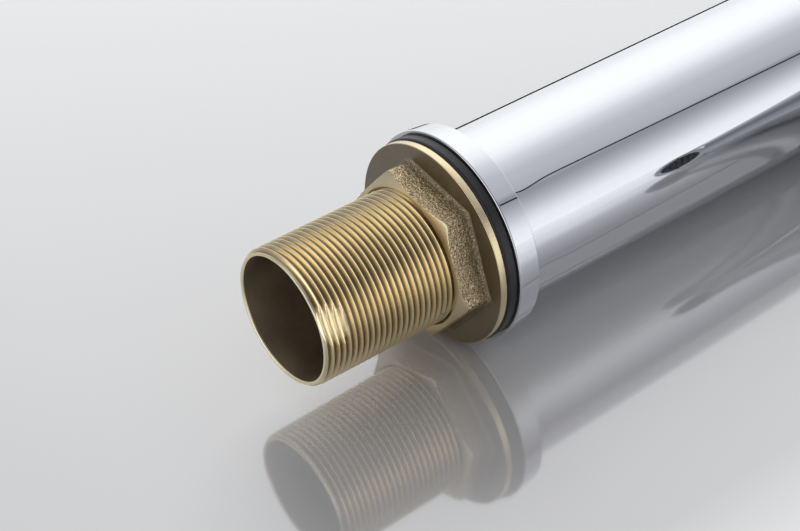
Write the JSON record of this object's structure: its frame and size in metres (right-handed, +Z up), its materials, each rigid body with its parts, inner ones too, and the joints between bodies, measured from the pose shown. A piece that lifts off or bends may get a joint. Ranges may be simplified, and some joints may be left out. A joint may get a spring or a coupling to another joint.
{
  "type": "basin mixer tap",
  "caption": "Deck-mounted single-lever basin mixer: chrome column, side spout with aerator, pin lever, ring foot with gasket, and a threaded brass shank with its flange nut.",
  "frame": {"origin": "on the column's axis in the plane of the deck, which is the underside of the foot's gasket", "axes": "+Z up along the column, -Y towards the spout and the lever rod, +X to the right for someone who faces the front of the tap"},
  "size_m": [0.0502, 0.1481, 0.2625],
  "materials": {
    "chrome": "polished",
    "brass_machined": "machined",
    "brass_cast": "as cast, sand blasted",
    "rubber_black": "matt",
    "steel": "satin",
    "plastic_dark": "matt",
    "plastic_white": "matt",
    "plastic_grey": "gloss",
    "ceramic": "ground and lapped"
  },
  "bodies": {
    "mixer": {"threaded_shank": "brass_machined", "base_gasket": "rubber_black", "base_ring": "chrome", "base_bush": "brass_machined", "column_tube": "chrome", "valve_body": "brass_machined", "spout": "chrome", "spout_nipple": "brass_machined", "spout_o_rings": "rubber_black", "spout_grub_screw": "steel", "aerator_housing": "chrome", "aerator_insert": "plastic_dark", "aerator_screen": "steel", "aerator_washer": "rubber_black", "cartridge_base": "plastic_white", "cartridge_seals": "rubber_black", "fixed_disc": "ceramic", "cartridge_housing": "plastic_white", "cartridge_nut": "brass_machined", "dome_cap": "chrome"},
    "nut": {"mounting_nut": "brass_cast"},
    "rotor": {"cartridge_rotor": "plastic_dark", "stem_pin": "steel", "rotor_o_ring": "rubber_black"},
    "lever": {"cartridge_stem": "brass_machined", "handle_hub": "chrome", "lever_rod": "chrome", "handle_grub_screw": "steel", "index_plug": "plastic_grey"},
    "carrier": {"disc_carrier": "plastic_dark", "moving_disc": "ceramic"}
  },
  "joints": [
    {"name": "nut_travel", "type": "slide", "parent": "mixer", "child": "nut", "axis": [0, 0, -1], "range_m": [0, 0.03]},
    {"name": "lever_turn", "type": "hinge", "parent": "mixer", "child": "rotor", "pos_m": [0, 0, 0.161], "axis": [0, 0, 1], "range_deg": [-45, 45]},
    {"name": "lever_lift", "type": "hinge", "parent": "rotor", "child": "lever", "pos_m": [0, 0, 0.161], "axis": [-1, 0, 0], "range_deg": [0, 22]},
    {"name": "disc_slide", "type": "slide", "parent": "rotor", "child": "carrier", "axis": [0, -1, 0], "range_m": [0, 0.0029]}
  ],
  "couplings": [
    {"joint": "disc_slide", "follows": "lever_lift", "m_per_rad": 0.00735}
  ]
}
